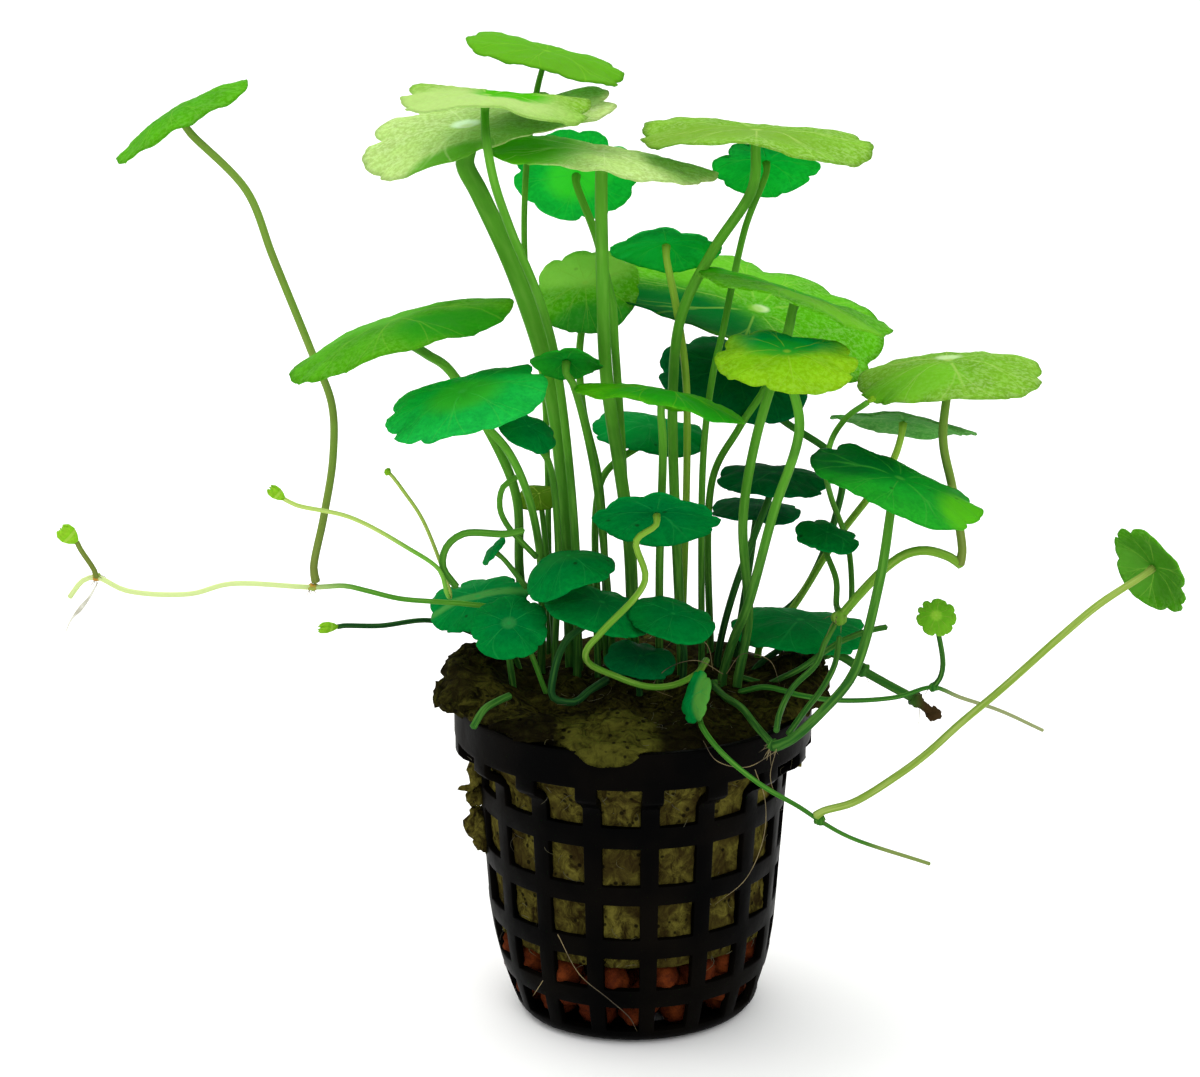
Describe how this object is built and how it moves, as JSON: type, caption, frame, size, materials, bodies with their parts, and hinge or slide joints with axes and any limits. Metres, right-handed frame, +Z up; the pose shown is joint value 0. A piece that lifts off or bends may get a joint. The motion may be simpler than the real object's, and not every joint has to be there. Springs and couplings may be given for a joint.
{
  "type": "whorled pennywort in a net pot",
  "caption": "Potted whorled pennywort: round lobed peltate leaves on tall thin stalks over a rockwool plug, with creeping runners, in a black slotted net pot.",
  "frame": {"origin": "centre of the underside of the net pot", "axes": "+Z up along the pot's axis; +X to the plant's right as seen from its front, where the longest runners spread; -Y towards the front, where stems hang over the rim"},
  "size_m": [0.1656, 0.0703, 0.1503],
  "materials": {
    "net_pot": "near-black moulded plastic with a satin sheen, wet",
    "rockwool": "damp fibrous mineral wool, olive brown with dark specks",
    "clay_bed": "unglazed fired clay granules, brick red, wet",
    "runner_left": "smooth green stem, satin",
    "runner_arc": "smooth green stem, satin",
    "runner_loop": "smooth green stem, satin",
    "runner_front": "smooth green stem, satin",
    "runner_right_low": "smooth green stem, satin",
    "runner_low": "smooth green stem, satin",
    "runner_rise_1": "smooth green stem, satin",
    "runner_rise_2": "smooth green stem, satin",
    "runner_arch": "smooth green stem, satin",
    "runner_bud": "smooth green stem, satin",
    "runner_cut_end": "smooth green stem, satin",
    "cut_stub": "smooth green stem, satin",
    "leaf_01": "satin leaf skin, mid green, paler veins from the middle",
    "leaf_02": "satin leaf skin, mid green, paler veins from the middle",
    "leaf_03": "satin leaf skin, mid green, paler veins from the middle",
    "leaf_04": "satin leaf skin, mid green, paler veins from the middle",
    "leaf_05": "satin leaf skin, mid green, paler veins from the middle",
    "leaf_06": "satin leaf skin, mid green, paler veins from the middle",
    "leaf_07": "satin leaf skin, mid green, paler veins from the middle",
    "leaf_08": "satin leaf skin, mid green, paler veins from the middle",
    "leaf_09": "satin leaf skin, mid green, paler veins from the middle",
    "leaf_10": "satin leaf skin, mid green, paler veins from the middle",
    "leaf_11": "satin leaf skin, mid green, paler veins from the middle",
    "leaf_12": "satin leaf skin, mid green, paler veins from the middle",
    "leaf_13": "satin leaf skin, mid green, paler veins from the middle",
    "leaf_14": "satin leaf skin, mid green, paler veins from the middle",
    "leaf_15": "satin leaf skin, mid green, paler veins from the middle",
    "leaf_16": "satin leaf skin, mid green, paler veins from the middle",
    "leaf_17": "satin leaf skin, mid green, paler veins from the middle",
    "leaf_18": "satin leaf skin, mid green, paler veins from the middle",
    "leaf_19": "satin leaf skin, mid green, paler veins from the middle",
    "leaf_20": "satin leaf skin, dark green, shaded",
    "leaf_21": "satin leaf skin, mid green, paler veins from the middle",
    "leaf_22": "satin leaf skin, dark green, shaded",
    "leaf_23": "satin leaf skin, mid green, paler veins from the middle",
    "leaf_24": "satin leaf skin, mid green, paler veins from the middle",
    "leaf_25": "satin leaf skin, dark green, shaded",
    "leaf_26": "satin leaf skin, dark green, shaded",
    "leaf_27": "satin leaf skin, mid green, paler veins from the middle",
    "leaf_28": "satin leaf skin, mid green, paler veins from the middle",
    "leaf_29": "satin leaf skin, dark green, shaded",
    "leaf_30": "satin leaf skin, dark green, shaded",
    "leaf_31": "satin leaf skin, mid green, paler veins from the middle",
    "leaf_32": "satin leaf skin, dark green, shaded",
    "leaf_33": "satin leaf skin, dark green, shaded",
    "leaf_34": "satin leaf skin, mid green, paler veins from the middle",
    "leaf_35": "satin leaf skin, dark green, shaded",
    "leaf_36": "young yellow-green skin, satin",
    "leaf_37": "satin leaf skin, mid green, paler veins from the middle",
    "leaf_38": "satin leaf skin, mid green, paler veins from the middle",
    "leaf_39": "satin leaf skin, mid green, paler veins from the middle",
    "young_leaf_1": "young yellow-green skin, satin",
    "young_leaf_2": "young yellow-green skin, satin",
    "young_leaf_3": "young yellow-green skin, satin",
    "young_leaf_4": "young yellow-green skin, satin",
    "young_leaf_5": "young yellow-green skin, satin"
  },
  "bodies": {
    "root": {"net_pot": "net_pot", "rockwool": "rockwool", "clay_bed": "clay_bed", "runner_left": "runner_left", "runner_arc": "runner_arc", "runner_loop": "runner_loop", "runner_front": "runner_front", "runner_right_low": "runner_right_low", "runner_low": "runner_low", "runner_rise_1": "runner_rise_1", "runner_rise_2": "runner_rise_2", "runner_arch": "runner_arch", "runner_bud": "runner_bud", "runner_cut_end": "runner_cut_end", "cut_stub": "cut_stub", "leaf_01": "leaf_01", "leaf_02": "leaf_02", "leaf_03": "leaf_03", "leaf_04": "leaf_04", "leaf_05": "leaf_05", "leaf_06": "leaf_06", "leaf_07": "leaf_07", "leaf_08": "leaf_08", "leaf_09": "leaf_09", "leaf_10": "leaf_10", "leaf_11": "leaf_11", "leaf_12": "leaf_12", "leaf_13": "leaf_13", "leaf_14": "leaf_14", "leaf_15": "leaf_15", "leaf_16": "leaf_16", "leaf_17": "leaf_17", "leaf_18": "leaf_18", "leaf_19": "leaf_19", "leaf_20": "leaf_20", "leaf_21": "leaf_21", "leaf_22": "leaf_22", "leaf_23": "leaf_23", "leaf_24": "leaf_24", "leaf_25": "leaf_25", "leaf_26": "leaf_26", "leaf_27": "leaf_27", "leaf_28": "leaf_28", "leaf_29": "leaf_29", "leaf_30": "leaf_30", "leaf_31": "leaf_31", "leaf_32": "leaf_32", "leaf_33": "leaf_33", "leaf_34": "leaf_34", "leaf_35": "leaf_35", "leaf_36": "leaf_36", "leaf_37": "leaf_37", "leaf_38": "leaf_38", "leaf_39": "leaf_39", "young_leaf_1": "young_leaf_1", "young_leaf_2": "young_leaf_2", "young_leaf_3": "young_leaf_3", "young_leaf_4": "young_leaf_4", "young_leaf_5": "young_leaf_5"}
  },
  "joints": []
}
